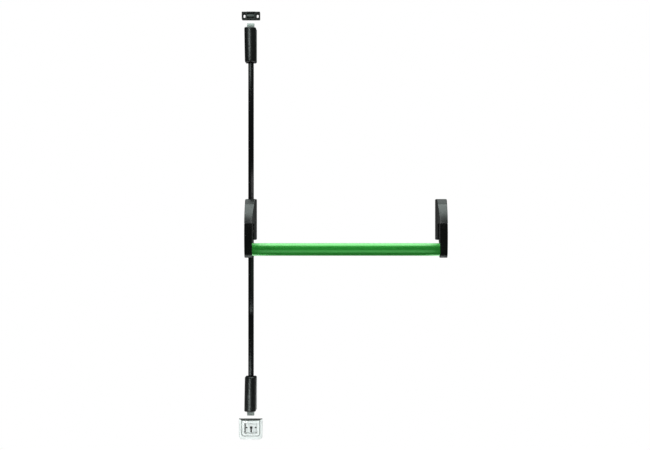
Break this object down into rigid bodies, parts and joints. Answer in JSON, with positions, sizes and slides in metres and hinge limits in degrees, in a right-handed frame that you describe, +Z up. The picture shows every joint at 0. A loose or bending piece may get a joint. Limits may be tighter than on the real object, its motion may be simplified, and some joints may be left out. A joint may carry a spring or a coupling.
{
  "type": "panic bar",
  "caption": "Door panic bar with a green oval push bar between two lever casings, and covered vertical rods that draw a top and a bottom bolt out of their strikes.",
  "frame": {"origin": "on the door face, at the middle of the active (left) casing's back", "axes": "+X along the push bar towards the idle casing, +Y into the door, +Z up"},
  "size_m": [0.6729, 0.1014, 1.3842],
  "materials": {
    "black_casing": "satin black moulded plastic",
    "grey_cap": "satin dark grey-green moulded plastic",
    "green_bar": "semi-gloss green enamel",
    "plug_plastic": "black nylon",
    "zinc_steel": "zinc plated",
    "blackened_steel": "black oxide",
    "cast_zinc": "die-cast, satin",
    "bright_steel": "ground",
    "spring_steel": "drawn wire",
    "black_cover": "satin black powder coat",
    "sintered_bronze": "sintered",
    "rubber_buffer": "matt",
    "guide_nylon": "natural nylon",
    "floor_plate_steel": "satin stainless"
  },
  "bodies": {
    "root": {"active_housing": "black_casing", "idle_housing": "black_casing", "active_cap": "grey_cap", "idle_cap": "grey_cap", "active_chassis": "zinc_steel", "idle_chassis": "zinc_steel", "spring_stop_bars": "zinc_steel", "return_springs": "spring_steel", "stop_buffer": "rubber_buffer", "pinion_axle": "bright_steel", "slide_guides": "guide_nylon", "bolt_springs": "spring_steel", "top_strike_body": "black_casing", "strike_roller_pin": "bright_steel", "floor_strike_plate": "floor_plate_steel", "floor_strike_cup": "zinc_steel", "upper_rod_cover": "black_cover", "upper_rod_guides": "guide_nylon", "lower_rod_cover": "black_cover", "lower_rod_guides": "guide_nylon", "top_latch_case": "zinc_steel", "top_keeper_plate": "zinc_steel", "top_end_cover": "black_casing", "bottom_latch_case": "zinc_steel", "bottom_keeper_plate": "zinc_steel", "bottom_end_cover": "black_casing"},
    "push_bar": {"active_lever": "black_casing", "idle_lever": "black_casing", "push_bar_tube": "green_bar", "bar_end_plugs": "plug_plastic", "bar_clamp_screws": "blackened_steel", "active_pivot_spindle": "bright_steel", "idle_pivot_spindle": "bright_steel", "spindle_clips": "spring_steel", "pivot_bushes": "sintered_bronze", "drive_dog": "cast_zinc", "spacer_sleeve": "guide_nylon"},
    "upper_rod": {"upper_slide": "cast_zinc", "upper_rod": "zinc_steel", "upper_rod_adaptor": "zinc_steel", "upper_lock_nut": "zinc_steel", "top_bolt": "cast_zinc"},
    "lower_rod": {"lower_slide": "cast_zinc", "lower_rod": "zinc_steel", "lower_rod_adaptor": "zinc_steel", "lower_lock_nut": "zinc_steel", "bottom_bolt": "cast_zinc"},
    "pinion": {"pinion": "cast_zinc"},
    "strike_roller": {"top_strike_roller": "bright_steel"}
  },
  "joints": [
    {"name": "bar_push", "type": "hinge", "parent": "root", "child": "push_bar", "pos_m": [0, -0.06, 0.022], "axis": [1, 0, 0], "range_deg": [0, 24], "stiffness_Nm_per_rad": 4, "springref_deg": -22.92, "deforming": ["return_springs"]},
    {"name": "upper_rod_slide", "type": "slide", "parent": "root", "child": "upper_rod", "axis": [0, 0, -1], "range_m": [0, 0.0171], "deforming": ["bolt_springs"]},
    {"name": "lower_rod_slide", "type": "slide", "parent": "root", "child": "lower_rod", "axis": [0, 0, 1], "range_m": [0, 0.0171], "deforming": ["bolt_springs"]},
    {"name": "pinion_spin", "type": "hinge", "parent": "root", "child": "pinion", "pos_m": [0, -0.0085, -0.0245], "axis": [0, -1, 0], "range_deg": [0, 163]},
    {"name": "strike_roller_spin", "type": "hinge", "parent": "root", "child": "strike_roller", "pos_m": [0, -0.0125, 0.6596], "axis": [1, 0, 0], "continuous": true}
  ],
  "couplings": [
    {"joint": "upper_rod_slide", "follows": "bar_push", "m_per_rad": 0.040584},
    {"joint": "lower_rod_slide", "follows": "bar_push", "m_per_rad": 0.040584},
    {"joint": "pinion_spin", "follows": "bar_push", "ratio": 6.7641}
  ]
}
